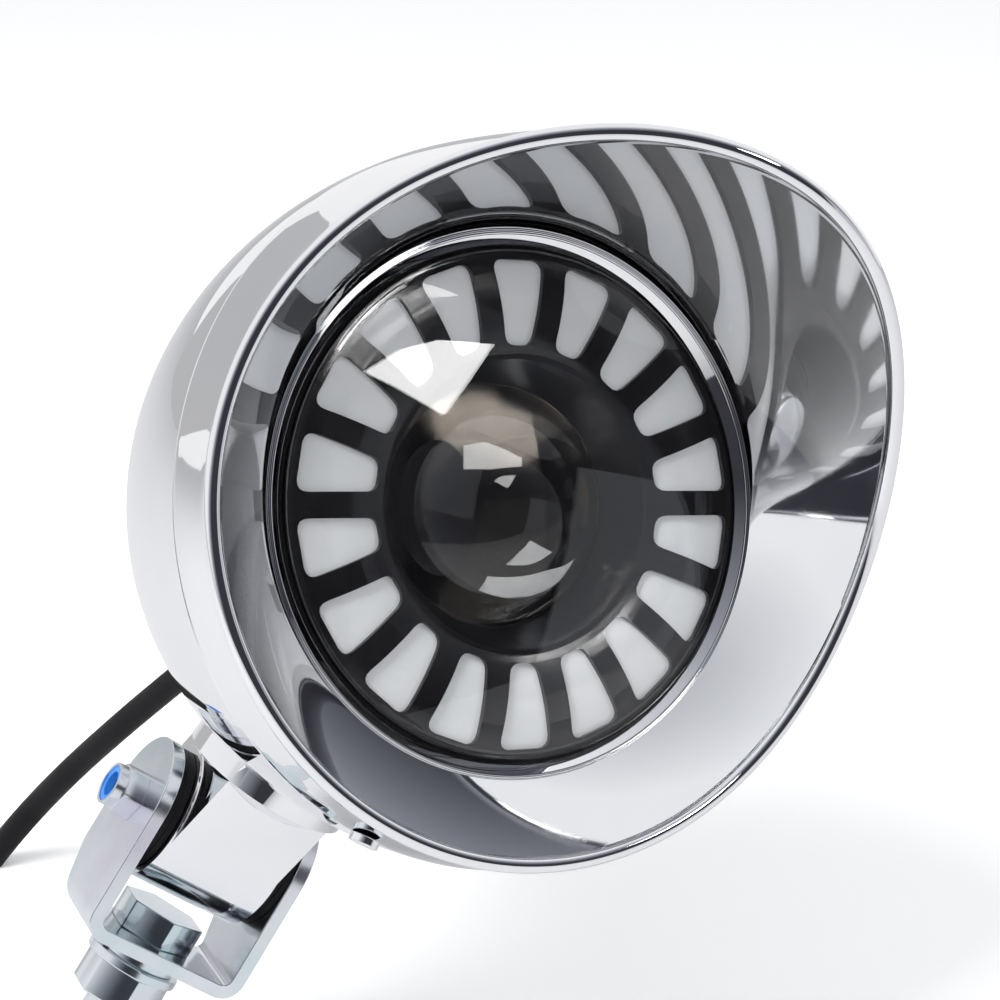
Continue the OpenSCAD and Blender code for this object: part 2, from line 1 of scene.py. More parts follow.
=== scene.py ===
# %% [markdown]
# # A chrome motorcycle spotlight
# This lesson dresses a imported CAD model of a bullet-shaped spotlight. The CAD model gives the size,
# the place and the joints of every piece. Here each piece gets its finish, and the pieces whose
# curves must be smooth in a mirror finish are rebuilt as finer meshes on the same measures.

# %% Load the frame
import json
import math

import bmesh
import bpy
from mathutils import Matrix, Vector


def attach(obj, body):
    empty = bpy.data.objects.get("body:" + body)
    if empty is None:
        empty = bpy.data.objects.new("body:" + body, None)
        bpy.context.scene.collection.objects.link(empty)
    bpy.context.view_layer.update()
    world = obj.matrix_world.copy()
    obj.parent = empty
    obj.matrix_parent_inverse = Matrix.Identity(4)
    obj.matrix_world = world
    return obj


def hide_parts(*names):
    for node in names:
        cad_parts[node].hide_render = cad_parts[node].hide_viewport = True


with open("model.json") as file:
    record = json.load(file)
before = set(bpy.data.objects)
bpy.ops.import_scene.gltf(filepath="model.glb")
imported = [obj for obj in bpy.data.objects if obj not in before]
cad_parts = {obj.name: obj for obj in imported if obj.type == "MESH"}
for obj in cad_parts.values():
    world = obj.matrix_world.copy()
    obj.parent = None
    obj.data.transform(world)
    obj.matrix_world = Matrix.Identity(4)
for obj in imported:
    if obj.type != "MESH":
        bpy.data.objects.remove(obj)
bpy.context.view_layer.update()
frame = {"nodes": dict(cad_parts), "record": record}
MM = 0.001

# %% [markdown]
# ## The camera
# The photograph was taken almost level with the lamp, from its front left, with the camera rolled
# by about thirty degrees. A long lens keeps the rings round. Heading, pitch and roll are easier to
# read and to correct than a matrix, so the matrix is worked out from them.

# %% Camera
CAMERA_PLACE = Vector((-0.19774, -0.47865, 0.13323))
HEADING, PITCH, ROLL = 24.25, 1.70, 31.1
LENS_MM, SENSOR_MM = 86.4, 36


def camera_axes(heading, pitch, roll):
    """Right, up and backward directions of a camera that looks along +Y at heading 0."""
    h, p, r = (math.radians(a) for a in (heading, pitch, roll))
    forward = Vector((math.sin(h) * math.cos(p), math.cos(h) * math.cos(p), math.sin(p)))
    level = Vector((math.cos(h), -math.sin(h), 0))
    rise = level.cross(forward)
    right = level * math.cos(r) + rise * math.sin(r)
    up = rise * math.cos(r) - level * math.sin(r)
    return right, up, -forward


right, up, backward = camera_axes(HEADING, PITCH, ROLL)
camera_data = bpy.data.cameras.new("camera")
camera_data.lens = LENS_MM
camera_data.sensor_width = SENSOR_MM
camera = bpy.data.objects.new("camera", camera_data)
camera.matrix_world = Matrix((
    (right.x, up.x, backward.x, CAMERA_PLACE.x),
    (right.y, up.y, backward.y, CAMERA_PLACE.y),
    (right.z, up.z, backward.z, CAMERA_PLACE.z),
    (0, 0, 0, 1),
))
bpy.context.scene.collection.objects.link(camera)
bpy.context.scene.camera = camera
bpy.context.scene.view_settings.view_transform = "Standard"
print("camera at", [round(v, 3) for v in CAMERA_PLACE], "lens", LENS_MM)

# %% [markdown]
# ## Helpers for meshes
# Most of the lamp is turned on a lathe, so most meshes here are a section swept round the lamp's
# own axis. The lamp's frame has its origin at the front of the glass, Y to the back and Z up, and
# one matrix puts it where the CAD model has it, tilted in its bracket. Pieces that come from presses
# and moulds keep the CAD model's mesh, and a small bevel eases their edges.

# %% Mesh helpers
TILT_AXIS_Z = 55.0
LAMP_TILT = 14.0
PIVOT_BACK, PIVOT_DROP = 71.8, 79.0
SAME_PLACE, WELD = 1e-6, 2e-6
SMOOTH_ANGLE = 35
EASE_STEPS, EASE_ANGLE, EASED_SMOOTH_ANGLE, FLAT_ANGLE = 3, 30, 40, 1.5
LAMP = (
    Matrix.Translation((0, 0, TILT_AXIS_Z * MM))
    @ Matrix.Rotation(math.radians(-LAMP_TILT), 4, "X")
    @ Matrix.Translation((0, -PIVOT_BACK * MM, PIVOT_DROP * MM))
)


def make_object(name, points, faces, place=Matrix.Identity(4), smooth_angle=SMOOTH_ANGLE):
    """A new object from points in millimetres, with smooth shading below an angle."""
    mesh = bpy.data.meshes.new(name)
    mesh.from_pydata([place @ (Vector(p) * MM) for p in points], [], faces)
    mesh.validate()
    work = bmesh.new()
    work.from_mesh(mesh)
    bmesh.ops.remove_doubles(work, verts=work.verts, dist=SAME_PLACE)
    bmesh.ops.recalc_face_normals(work, faces=work.faces)
    work.to_mesh(mesh)
    work.free()
    piece = bpy.data.objects.new(name, mesh)
    bpy.context.scene.collection.objects.link(piece)
    soften(piece, smooth_angle)
    return piece


def soften(piece, angle):
    """Smooth shading, with edges sharper than the angle kept sharp."""
    mesh = piece.data
    mesh.shade_smooth()
    mesh.set_sharp_from_angle(angle=math.radians(angle))


def sweep(sections):
    """Points and faces that join a list of equal sections, round and back to the first."""
    count, size = len(sections), len(sections[0])
    points = [p for section in sections for p in section]
    faces = []
    for i in range(count):
        k = (i + 1) % count
        for j in range(size):
            n = (j + 1) % size
            faces.append((i * size + j, i * size + n, k * size + n, k * size + j))
    return points, faces


def lathe(name, profile, steps=160):
    """A piece turned about the lamp's axis from a closed profile of (radius, depth to the front)."""
    sections = []
    for i in range(steps):
        a = 2 * math.pi * i / steps
        sections.append([(r * math.sin(a), -d, r * math.cos(a)) for r, d in profile])
    return make_object(name, *sweep(sections), place=LAMP)


def arc(centre, rx, ry, start, end, steps):
    """Points of an elliptical arc between two angles in degrees."""
    angles = (math.radians(start + (end - start) * i / steps) for i in range(steps + 1))
    return [(centre[0] + rx * math.cos(a), centre[1] + ry * math.sin(a)) for a in angles]


def dome(r, edge, rise):
    """Rise of a shallow dome of radius edge and height rise, at radius r."""
    ball = (edge * edge + rise * rise) / (2 * rise)
    return math.sqrt(ball * ball - r * r) - ball + rise


def dressed(node, bevel):
    """A copy of a CAD node with its edges eased, which then stands for the node."""
    source = frame["nodes"][node]
    piece = source.copy()
    piece.data = source.data.copy()
    piece.name = "dressed_" + node
    piece.parent = None
    piece.matrix_world = Matrix.Identity(4)
    bpy.context.scene.collection.objects.link(piece)
    work = bmesh.new()
    work.from_mesh(piece.data)
    bmesh.ops.remove_doubles(work, verts=work.verts, dist=WELD)
    bmesh.ops.dissolve_limit(work, angle_limit=math.radians(FLAT_ANGLE), verts=work.verts, edges=work.edges)
    work.to_mesh(piece.data)
    work.free()
    cut = piece.modifiers.new("eased_edges", "BEVEL")
    cut.width = bevel * MM
    cut.segments = EASE_STEPS
    cut.limit_method = "ANGLE"
    cut.angle_limit = math.radians(EASE_ANGLE)
    cut.harden_normals = False
    soften(piece, EASED_SMOOTH_ANGLE)
    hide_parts(node)
    return piece


print("lamp frame origin", [round(v, 4) for v in LAMP.translation])

# %% [markdown]
# ## The cord
# A sheathed lead leaves the tail of the housing, runs straight for about a hand's width and then
# hangs. A curve with a round bevel is the plainest way to make it: its length and its bends can be
# read from its points. The route repeats the CAD model's points, rounded between them by a spline.
# The thickness is set as each point's radius, because the box round a curve is measured with it.

# %% Cord
CORD_MM = [
    (0, 43.5, 97.8), (0, 48, 93.5), (0, 54, 87.8), (0, 61, 80.8), (0, 68, 73.6), (0, 75, 66.2),
    (0, 82, 58.6), (0, 89, 50.6), (0, 96, 42.2), (0, 102.6, 33.4), (0, 108.6, 24.2), (0, 113.8, 14.4),
    (0, 118, 4), (0, 121, -7), (0, 122.8, -18.4), (0, 123.6, -30), (0, 123.8, -42), (0, 123.8, -56),
    (0, 123.8, -70), (0, 123.8, -84), (0, 123.8, -98), (0, 123.8, -112), (0, 123.8, -126),
]
CORD_D = 6.5
cord_curve = bpy.data.curves.new("cord_run", "CURVE")
cord_curve.dimensions = "3D"
cord_curve.bevel_depth = 1.0
cord_curve.bevel_resolution = 8
cord_curve.resolution_u = 6
cord_curve.use_fill_caps = True
spline = cord_curve.splines.new("BEZIER")
spline.bezier_points.add(len(CORD_MM) - 1)
for knot, place in zip(spline.bezier_points, CORD_MM):
    knot.co = Vector(place) * MM
    knot.radius = CORD_D / 2 * MM
    knot.handle_left_type = knot.handle_right_type = "AUTO"
cord = bpy.data.objects.new("cord_run", cord_curve)
bpy.context.scene.collection.objects.link(cord)
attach(cord, "lamp")
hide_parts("cord")

# %% [markdown]
# ## Shader groups
# Two effects turn up in most of the finishes. Handling leaves faint smudges on polished parts,
# which dull them in patches. Metal, rubber and paint have a fine grain and a slow drift of tone.
# Each effect is a node group that is built once and placed in a material with its own values. The
# groups give out only values, and the shader stays outside.

# %% Shader groups


def new_group(name, inputs, outputs):
    """An empty shader group with named float inputs (with defaults) and float outputs."""
    group = bpy.data.node_groups.new(name, "ShaderNodeTree")
    for label, value in inputs:
        socket = group.interface.new_socket(name=label, in_out="INPUT", socket_type="NodeSocketFloat")
        socket.default_value = value
    for label in outputs:
        group.interface.new_socket(name=label, in_out="OUTPUT", socket_type="NodeSocketFloat")
    return group, group.nodes.new("NodeGroupInput"), group.nodes.new("NodeGroupOutput")


def add(tree, kind, **values):
    """Adds a node and sets its properties and, by socket name, its input defaults."""
    item = tree.nodes.new(kind)
    for key, value in values.items():
        if hasattr(item, key) and key not in item.inputs:
            setattr(item, key, value)
        else:
            item.inputs[key].default_value = value
    return item


def combine(tree, operation, first, second):
    """A math node over two values, each of them a socket or a number."""
    item = add(tree, "ShaderNodeMath", operation=operation)
    for socket, value in zip(item.inputs, (first, second)):
        if isinstance(value, (int, float)):
            socket.default_value = value
        else:
            tree.links.new(value, socket)
    return item.outputs[0]


def noise_in(tree, scale_from, scale_times, detail, rough=0.55):
    """A noise texture in object space whose scale is an input times a number."""
    place = add(tree, "ShaderNodeTexCoord")
    noise = add(tree, "ShaderNodeTexNoise", Detail=detail, Roughness=rough)
    tree.links.new(place.outputs["Object"], noise.inputs["Vector"])
    tree.links.new(combine(tree, "MULTIPLY", scale_from, scale_times), noise.inputs["Scale"])
    return noise


def stretch(tree, value, low, high, out_low, out_high):
    """Maps a value from one range to another and clamps it."""
    item = add(tree, "ShaderNodeMapRange", clamp=True)
    for key, number in (("From Min", low), ("From Max", high), ("To Min", out_low), ("To Max", out_high)):
        item.inputs[key].default_value = number
    tree.links.new(value, item.inputs["Value"])
    return item.outputs["Result"]


smudges, group_in, group_out = new_group(
    "handled_surface", [("Scale", 60.0), ("Low", 0.03), ("High", 0.10)], ["Roughness"])
broad = noise_in(smudges, group_in.outputs["Scale"], 1.0, detail=4.0)
mask = stretch(smudges, broad.outputs["Fac"], 0.42, 0.72, 0.0, 1.0)
blend = add(smudges, "ShaderNodeMix", data_type="FLOAT")
smudges.links.new(mask, blend.inputs["Factor"])
smudges.links.new(group_in.outputs["Low"], blend.inputs[2])
smudges.links.new(group_in.outputs["High"], blend.inputs[3])
smudges.links.new(blend.outputs[0], group_out.inputs["Roughness"])

grain, grain_in, grain_out = new_group("fine_grain", [("Scale", 400.0)], ["Height", "Tone"])
speck = noise_in(grain, grain_in.outputs["Scale"], 1.0, detail=6.0, rough=0.7)
cloud = noise_in(grain, grain_in.outputs["Scale"], 0.12, detail=3.0)
grain.links.new(speck.outputs["Fac"], grain_out.inputs["Height"])
grain.links.new(cloud.outputs["Fac"], grain_out.inputs["Tone"])
print("groups", [g.name for g in bpy.data.node_groups])

# %% [markdown]
# ## Helpers for materials
# The lamp has two families of finish: plated metal, and moulded rubber or plastic. Each family is
# one function, so that every finish is a single line with its tones, its smoothest and dullest
# roughness, the scale of its smudges and the depth of its grain.

# %% Material helpers
METAL_GRAIN, METAL_BUMP = 8, 0.0002
MOULD_GRAIN, MOULD_BUMP = 10, 0.0003
GLASS_SMUDGE = 0.015


def new_material(name):
    """A node material with its tree and its Principled shader."""
    material = bpy.data.materials.new(name)
    material.use_nodes = True
    tree = material.node_tree
    return material, tree, tree.nodes["Principled BSDF"]


def place_group(tree, group, **values):
    """Places a shader group in a material with its own values."""
    item = tree.nodes.new("ShaderNodeGroup")
    item.node_tree = group
    for key, value in values.items():
        item.inputs[key].default_value = value
    return item


def bump_from(tree, shader, height, strength, distance):
    """Feeds a height to the shader's normal."""
    item = add(tree, "ShaderNodeBump", Strength=strength, Distance=distance)
    tree.links.new(height, item.inputs["Height"])
    tree.links.new(item.outputs["Normal"], shader.inputs["Normal"])


def ramp_between(tree, value, stops):
    """A colour ramp over a value, from a list of (position, colour)."""
    item = tree.nodes.new("ShaderNodeValToRGB")
    ramp = item.color_ramp
    while len(ramp.elements) < len(stops):
        ramp.elements.new(0.5)
    for element, (position, colour) in zip(ramp.elements, stops):
        element.position = position
        element.color = (*colour, 1)
    tree.links.new(value, item.inputs["Fac"])
    return item.outputs["Color"]


def metal(name, tones, smooth, dull, scale, depth):
    """A metal whose colour drifts between tones and whose roughness is smudged."""
    material, tree, shader = new_material(name)
    shader.inputs["Metallic"].default_value = 1.0
    worn = place_group(tree, smudges, Scale=scale, Low=smooth, High=dull)
    rough_grain = place_group(tree, grain, Scale=scale * METAL_GRAIN)
    tree.links.new(worn.outputs["Roughness"], shader.inputs["Roughness"])
    tree.links.new(ramp_between(tree, rough_grain.outputs["Tone"], tones), shader.inputs["Base Color"])
    bump_from(tree, shader, rough_grain.outputs["Height"], depth, METAL_BUMP)
    return material


def moulded(name, tones, smooth, dull, scale, depth, sheen=0.5):
    """Rubber or plastic with a fine moulded grain and patches of wear."""
    material, tree, shader = new_material(name)
    worn = place_group(tree, smudges, Scale=scale, Low=smooth, High=dull)
    skin = place_group(tree, grain, Scale=scale * MOULD_GRAIN)
    shader.inputs["Specular IOR Level"].default_value = sheen
    tree.links.new(worn.outputs["Roughness"], shader.inputs["Roughness"])
    tree.links.new(ramp_between(tree, skin.outputs["Tone"], tones), shader.inputs["Base Color"])
    bump_from(tree, shader, skin.outputs["Height"], depth, MOULD_BUMP)
    return material


def glass_material(name, tint, ior):
    """Clear glass: plain transmission, with faint smudges that only change the roughness."""
    material, tree, shader = new_material(name)
    shader.inputs["Base Color"].default_value = (*tint, 1)
    shader.inputs["Transmission Weight"].default_value = 1.0
    shader.inputs["IOR"].default_value = ior
    worn = place_group(tree, smudges, Scale=50.0, Low=0.0, High=GLASS_SMUDGE)
    tree.links.new(worn.outputs["Roughness"], shader.inputs["Roughness"])
    return material


print("smudge on glass up to", GLASS_SMUDGE)

# %% [markdown]
# ## Plated and bare metal
# Chrome is a mirror, so its colour is what stands round it, and only its roughness varies. Bright
# zinc plate is a softer mirror with a faint blue and lavender drift in its passivated skin, and the
# cross bolt has the yellow kind. The reflector deep in the lamp gets a dark colour, which is painted
# shade: little light gets there.

# %% Metals
chrome = metal("chrome_plate", [(0.3, (0.83, 0.84, 0.86)), (0.7, (0.88, 0.88, 0.89))],
               smooth=0.02, dull=0.06, scale=30, depth=0.004)
zinc = metal("zinc_plate", [(0.32, (0.60, 0.70, 0.73)), (0.5, (0.74, 0.77, 0.80)), (0.68, (0.72, 0.70, 0.80))],
             smooth=0.16, dull=0.30, scale=40, depth=0.05)
yellow_zinc = metal("yellow_zinc_plate", [(0.35, (0.74, 0.70, 0.50)), (0.65, (0.80, 0.79, 0.70))],
                    smooth=0.18, dull=0.3, scale=60, depth=0.05)
aluminium = metal("cast_aluminium", [(0.3, (0.6, 0.61, 0.62)), (0.7, (0.7, 0.7, 0.71))],
                  smooth=0.3, dull=0.45, scale=60, depth=0.2)
brass = metal("tinned_brass", [(0.3, (0.72, 0.6, 0.36)), (0.7, (0.8, 0.72, 0.5))],
              smooth=0.2, dull=0.35, scale=80, depth=0.05)
# Painted shade: the reflector's dark tones stand for the shade deep in the lamp, not for a smoked finish.
reflector_shade_metal = metal("reflector_chrome_painted_shade", [(0.3, (0.16, 0.15, 0.14)), (0.7, (0.22, 0.20, 0.18))],
               smooth=0.12, dull=0.2, scale=60, depth=0.02)
print("metals", [m.name for m in (chrome, zinc, yellow_zinc, aluminium, brass, reflector_shade_metal)])

# %% [markdown]
# ## Rubber, plastic and glass
# The black parts are moulded: dull rubber on the cord and seals, glossy plastic on the mask and the
# cone. The light ring is a milky plastic, which passes light on inside itself. Its weak glow is painted
# light that stands in for that, because a plain diffuse white would look too grey behind the cover glass.

# %% Moulded finishes and glass
rubber = moulded("black_rubber", [(0.3, (0.006, 0.006, 0.007)), (0.7, (0.010, 0.010, 0.011))],
                 smooth=0.42, dull=0.6, scale=60, depth=0.15, sheen=0.15)
gloss_black = moulded("black_plastic", [(0.3, (0.004, 0.004, 0.005)), (0.7, (0.010, 0.010, 0.011))],
                      smooth=0.12, dull=0.25, scale=60, depth=0.03)
matt_black = moulded("black_metal", [(0.3, (0.02, 0.02, 0.02)), (0.7, (0.035, 0.035, 0.037))],
                     smooth=0.4, dull=0.6, scale=60, depth=0.2)
milky = moulded("milky_plastic", [(0.3, (0.80, 0.82, 0.84)), (0.7, (0.87, 0.88, 0.90))],
                smooth=0.18, dull=0.3, scale=40, depth=0.02)
milky_painted_glow_shader = milky.node_tree.nodes["Principled BSDF"]
# Painted light: the ring is not switched on, and this glow only brightens its white behind the glass.
milky_painted_glow_shader.inputs["Emission Color"].default_value = (0.95, 0.97, 1.0, 1)
milky_painted_glow_shader.inputs["Emission Strength"].default_value = 0.1
green_board = moulded("circuit_board", [(0.3, (0.05, 0.2, 0.1)), (0.7, (0.08, 0.26, 0.14))],
                      smooth=0.3, dull=0.5, scale=80, depth=0.1)
led_yellow = moulded("led_phosphor", [(0.3, (0.85, 0.7, 0.15)), (0.7, (0.9, 0.8, 0.25))],
                     smooth=0.3, dull=0.4, scale=80, depth=0.05)
blue_nylon = moulded("blue_nylon", [(0.3, (0.02, 0.16, 0.62)), (0.7, (0.05, 0.28, 0.78))],
                     smooth=0.25, dull=0.4, scale=120, depth=0.1)
red_lead = moulded("red_lead", [(0.3, (0.42, 0.01, 0.01)), (0.7, (0.5, 0.02, 0.02))],
                   smooth=0.3, dull=0.45, scale=80, depth=0.05)
cover_glass = glass_material("cover_glass", (1.0, 1.0, 1.0), ior=1.45)
lens_glass = glass_material("lens_glass", (0.97, 0.99, 1.0), ior=1.5)
print("finishes", len(bpy.data.materials))

# %% [markdown]
# ## The housing
# The real housing is a deep-drawn steel bullet. A half ellipse turned on the axis gives the same
# skin. It is built again here with far more steps than the CAD solid has, because a mirror finish
# shows every flat. The wall is kept, and the edge at the mouth is eased, so that a fine dark line
# shows where the housing meets the trim ring.

# %% Housing
HOUSE_R, HOUSE_L, HOUSE_WALL, SEAM = 72.0, 103.0, 1.5, 3.3
SEAM_EASE = 0.3
HOUSE_STEPS = 192


def bullet(r, length, angle):
    """Point of the housing's half ellipse at an angle in degrees from its mouth."""
    return max(0.0, r * math.cos(math.radians(angle))), -SEAM - length * math.sin(math.radians(angle))


skin_points = [(HOUSE_R - SEAM_EASE, -SEAM), (HOUSE_R, -SEAM - SEAM_EASE)]
skin_points += [bullet(HOUSE_R, HOUSE_L, a) for a in range(1, 91)]
inside_points = [bullet(HOUSE_R - HOUSE_WALL, HOUSE_L - HOUSE_WALL, a) for a in range(90, -1, -2)]
housing = lathe("housing", skin_points + inside_points, steps=HOUSE_STEPS)
housing.data.materials.append(chrome)
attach(housing, "lamp")
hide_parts("housing_shell")
print("housing faces", len(housing.data.polygons))

# %% [markdown]
# ## The trim ring's section
# The ring is one pressing: a narrow well round the glass with a small bead, a bowl that opens
# outwards, a rolled hem, and a wall outside that goes back to the housing. The section is a list of
# points of (radius, depth in front of the glass), and its only variable is the depth of the lip.
# The bowl is a curve of second order with little swell, so that it mirrors the light ring's windows.

# %% Trim ring section
RIM_UNDER = -0.2
HEM_D, RING_WALL, HOOD_R, HOOD_CLOSE, CLOSE_POWER = 3.3, 1.6, 71.6, 1.9, 1.6
BOWL_SWELL, BOWL_STEPS, BOWL_START = 0.04, 44, 182
WELL_R, WELL_DEPTH, WELL_WALL, WELL_STEPS = 50.9, -2.7, 0.3, 8
BEAD_R, BEAD_DEPTH, BEAD = 53.6, -1.1, 0.4
HEM_FROM, HEM_TO, HEM_STEPS = 176, -55, 28
HOOD_STEPS, HOOD_REACH, HOOD_TOP = 16, 0.94, 0.6
BACK_STEPS = (0.75, 0.6, 0.45, 0.3, 0.15)


def hood_radius(depth):
    """Outer radius of the hood at a depth in front of the glass."""
    return HOOD_R - HOOD_CLOSE * (max(0.0, depth) / 30) ** CLOSE_POWER


def bowl_point(foot, head, t):
    """Point of the bowl's curve between its foot at the glass and its head at the hem."""
    width, rise = head[0] - foot[0], head[1] - foot[1]
    swell = ((foot[0] + head[0]) / 2 + BOWL_SWELL * width, (foot[1] + head[1]) / 2 - BOWL_SWELL * rise)
    return tuple((1 - t) ** 2 * a + 2 * t * (1 - t) * c + t * t * b for a, c, b in zip(foot, swell, head))


def bowl_back(foot, head, t):
    """The same point moved to the back of the sheet."""
    low, high, here = (bowl_point(foot, head, t + s) for s in (-0.01, 0.01, 0.0))
    run, rise = high[0] - low[0], high[1] - low[1]
    size = math.hypot(run, rise)
    return here[0] + RING_WALL * rise / size, here[1] - RING_WALL * run / size


def ring_back(foot, head):
    """Back of the sheet, from the seam inside the hood, over the bowl's back and down to the well."""
    turn = bowl_back(foot, head, BACK_STEPS[0])
    skin = RING_WALL + (HEM_D - RING_WALL) / 2
    back = [(HOUSE_R - SEAM_EASE, -SEAM), (HOUSE_R - RING_WALL, -SEAM)]
    back += [(hood_radius(z) - skin, z) for z in (turn[1] / 2, turn[1])]
    back += [bowl_back(foot, head, t) for t in BACK_STEPS]
    back.append((BEAD_R + 2, -SEAM))
    back += [(WELL_R + r, WELL_DEPTH - WELL_WALL) for r in (1.2, -WELL_WALL)]
    return back


def hood_wall(top):
    """Outer wall of the ring, from below the hem at depth top to the eased edge at the seam."""
    wall = []
    for i in range(1, HOOD_STEPS + 1):
        s = i / HOOD_STEPS
        z = top - (top + SEAM) * s * HOOD_REACH
        wall.append((hood_radius(z) - (HEM_D - RING_WALL) / 2 * (1 - s) + (HOUSE_R - HOOD_R) * s, z))
    return wall + [(HOUSE_R, SEAM_EASE - SEAM)]


def ring_section(depth):
    """Closed section of the ring where its lip is at a depth."""
    hem = (hood_radius(depth) - HEM_D / 2, depth - HEM_D / 2)
    foot = (BEAD_R + BEAD, BEAD_DEPTH)
    start = math.radians(BOWL_START)
    head = (hem[0] + HEM_D / 2 * math.cos(start), hem[1] + HEM_D / 2 * math.sin(start))
    well_run, well_rise = BEAD_R - BEAD - WELL_R, BEAD_DEPTH - WELL_DEPTH
    section = ring_back(foot, head)
    section += [(WELL_R + well_run * i / WELL_STEPS, WELL_DEPTH + well_rise * i / WELL_STEPS)
                for i in range(WELL_STEPS + 1)]
    section += arc((BEAD_R, BEAD_DEPTH), BEAD, BEAD, 165, 15, 8)
    section += [bowl_point(foot, head, i / BOWL_STEPS) for i in range(BOWL_STEPS + 1)]
    section += arc(hem, HEM_D / 2, HEM_D / 2, HEM_FROM, HEM_TO, HEM_STEPS)
    return section + hood_wall(hem[1] - HEM_D * HOOD_TOP)


print("points in a section", len(ring_section(HEM_D)))

# %% [markdown]
# ## The trim ring and its hood
# The lip is lowest under the lamp and rises to a peak over it. Its depth is a formula of the angle,
# a high power of a cosine, which keeps the lower half level and the peak round. So the ring is
# swept as a section whose height changes as it goes round, and no seam or step can show.

# %% Trim ring
LIP_LOW, PEAK, PEAK_POWER = 11.0, 43.0, 6.6
RING_STEPS, RING_SMOOTH_ANGLE = 288, 32


def lip_depth(angle):
    """Depth of the lip in front of the glass at an angle from the lamp's top."""
    return LIP_LOW + PEAK * abs(math.cos(angle / 2)) ** PEAK_POWER


ring_sections = []
for i in range(RING_STEPS):
    a = 2 * math.pi * i / RING_STEPS
    ring_sections.append([(r * math.sin(a), -d, r * math.cos(a)) for r, d in ring_section(lip_depth(a))])
trim = make_object("trim_ring", *sweep(ring_sections), place=LAMP, smooth_angle=RING_SMOOTH_ANGLE)
trim.data.materials.append(chrome)
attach(trim, "lamp")
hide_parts("visor_ring")
print("trim ring faces", len(trim.data.polygons), "lip from", LIP_LOW, "to", LIP_LOW + PEAK)

# %% [markdown]
# ## The front glass
# The real cover is pressed glass: a shallow dome with a rounded edge and a short skirt that sits in
# the well. Its front and back follow the same dome, a wall apart. It casts no shadow here, because
# clear glass would otherwise darken what lies behind it.

# %% Front glass
GLASS_R, GLASS_T, GLASS_RISE = 52.0, 2.0, 6.0
GLASS_FRONT = RIM_UNDER - 0.55
CAP_R, CAP_EDGE, CAP_BACK, CAP_SKIRT = 50.3, 0.8, -3.4, 0.3
cap_radii = [(CAP_R - CAP_EDGE) * i / 40 for i in range(41)]
cap_face = [(r, GLASS_FRONT + dome(r, GLASS_R, GLASS_RISE)) for r in cap_radii]
cap_face += arc((CAP_R - CAP_EDGE, cap_face[-1][1] - CAP_EDGE), CAP_EDGE, CAP_EDGE, 80, 0, 6)
cap_back = [(r, GLASS_FRONT - GLASS_T + dome(r, GLASS_R, GLASS_RISE)) for r in reversed(cap_radii)]
glass = lathe("cover", cap_face + [(CAP_R, CAP_BACK), (CAP_R - CAP_SKIRT, CAP_BACK)] + cap_back)
glass.visible_shadow = False
glass.data.materials.append(cover_glass)
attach(glass, "lamp")
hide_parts("front_glass")
print("glass dome rises", round(cap_face[0][1] - cap_face[-1][1], 2), "mm")

# %% [markdown]
# ## The seal and the module's case
# A rubber seal lies under the glass, and under it the rim of the black case that holds the whole
# light module. Both show only as thin dark rings between glass and chrome, so they are turned from
# a few points, just low enough to leave the glass its skirt.

# %% Seal and case
SEAL_BACK = -SEAM - 2.5
gasket = lathe("seal", [(CAP_R - CAP_SKIRT, SEAL_BACK), (WELL_R + 0.4, SEAL_BACK),
                        (WELL_R + 0.2, WELL_DEPTH + 0.4), (CAP_R - CAP_SKIRT, CAP_BACK - 0.05)])
gasket.data.materials.append(rubber)
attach(gasket, "lamp")
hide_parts("glass_gasket")

CASE_BACK, CASE_WALL, CASE_R, CASE_STEP_R, CASE_HOLE_R = -27.0, 2.0, 51.9, 50.0, 23.5
CASE_RIM_R, CASE_RIM_TOP, CASE_RIM_BACK, CASE_STEP_BACK = 56.0, -5.4, -6.0, -10.0
case_bore = CASE_STEP_R - CASE_WALL - 0.1
case = lathe("case", [
    (CASE_STEP_R, CASE_RIM_TOP), (CASE_RIM_R, CASE_RIM_TOP), (CASE_RIM_R, CASE_RIM_BACK), (CASE_R, CASE_RIM_BACK),
    (CASE_R, CASE_BACK), (CASE_HOLE_R, CASE_BACK), (CASE_HOLE_R, CASE_BACK + CASE_WALL),
    (case_bore, CASE_BACK + CASE_WALL), (case_bore, CASE_STEP_BACK), (CASE_STEP_R, CASE_STEP_BACK)])
case.data.materials.append(matt_black)
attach(case, "lamp")
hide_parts("module_case")
print("seal faces", len(gasket.data.polygons), "case faces", len(case.data.polygons))

# %% [markdown]
# ## The projector lens
# The lens is flat at the back and steeply domed in front, as projector lenses are. The dome has to
# be fine, because it bends the view of the dark cone behind it and mirrors the light cards as small
# bright shapes.

# %% Projector lens
LENS_R, SHROUD_R, LENS_BACK, LENS_RISE, LENS_EDGE = 25.5, 24.2, 12.6, 11.6, 3.4
lens_profile = [(0.0, -LENS_BACK - LENS_EDGE)]
lens_profile += [(r, -LENS_BACK + dome(r, SHROUD_R, LENS_RISE)) for r in (SHROUD_R * i / 40 for i in range(41))]
lens_profile += [(LENS_R, -LENS_BACK), (LENS_R, -LENS_BACK - LENS_EDGE)]
lens = lathe("projector_glass", lens_profile)
lens.data.materials.append(lens_glass)
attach(lens, "lamp")
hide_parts("projector_lens")
print("lens faces", len(lens.data.polygons))

# %% [markdown]
# ## The milky light ring
# A moulded ring of milky plastic lies behind the mask and shows through its windows. The mask is
# crowned, so the ring's face follows the same crown, one mask thickness further back.

# %% Light ring
MASK_R, MASK_IN, MASK_T, MASK_EDGE, MASK_RISE = 49.9, 29.8, 1.2, -2.4, 1.7
MILK_GAP, MILK_CUT, MILK_BACK = 0.1, 1.2, -7.0


def crown(r):
    """Depth of the crowned face of the light ring at a radius."""
    middle, half = (MASK_R + MASK_IN) / 2, (MASK_R - MASK_IN) / 2
    return MASK_EDGE + dome(abs(r - middle), half, MASK_RISE)


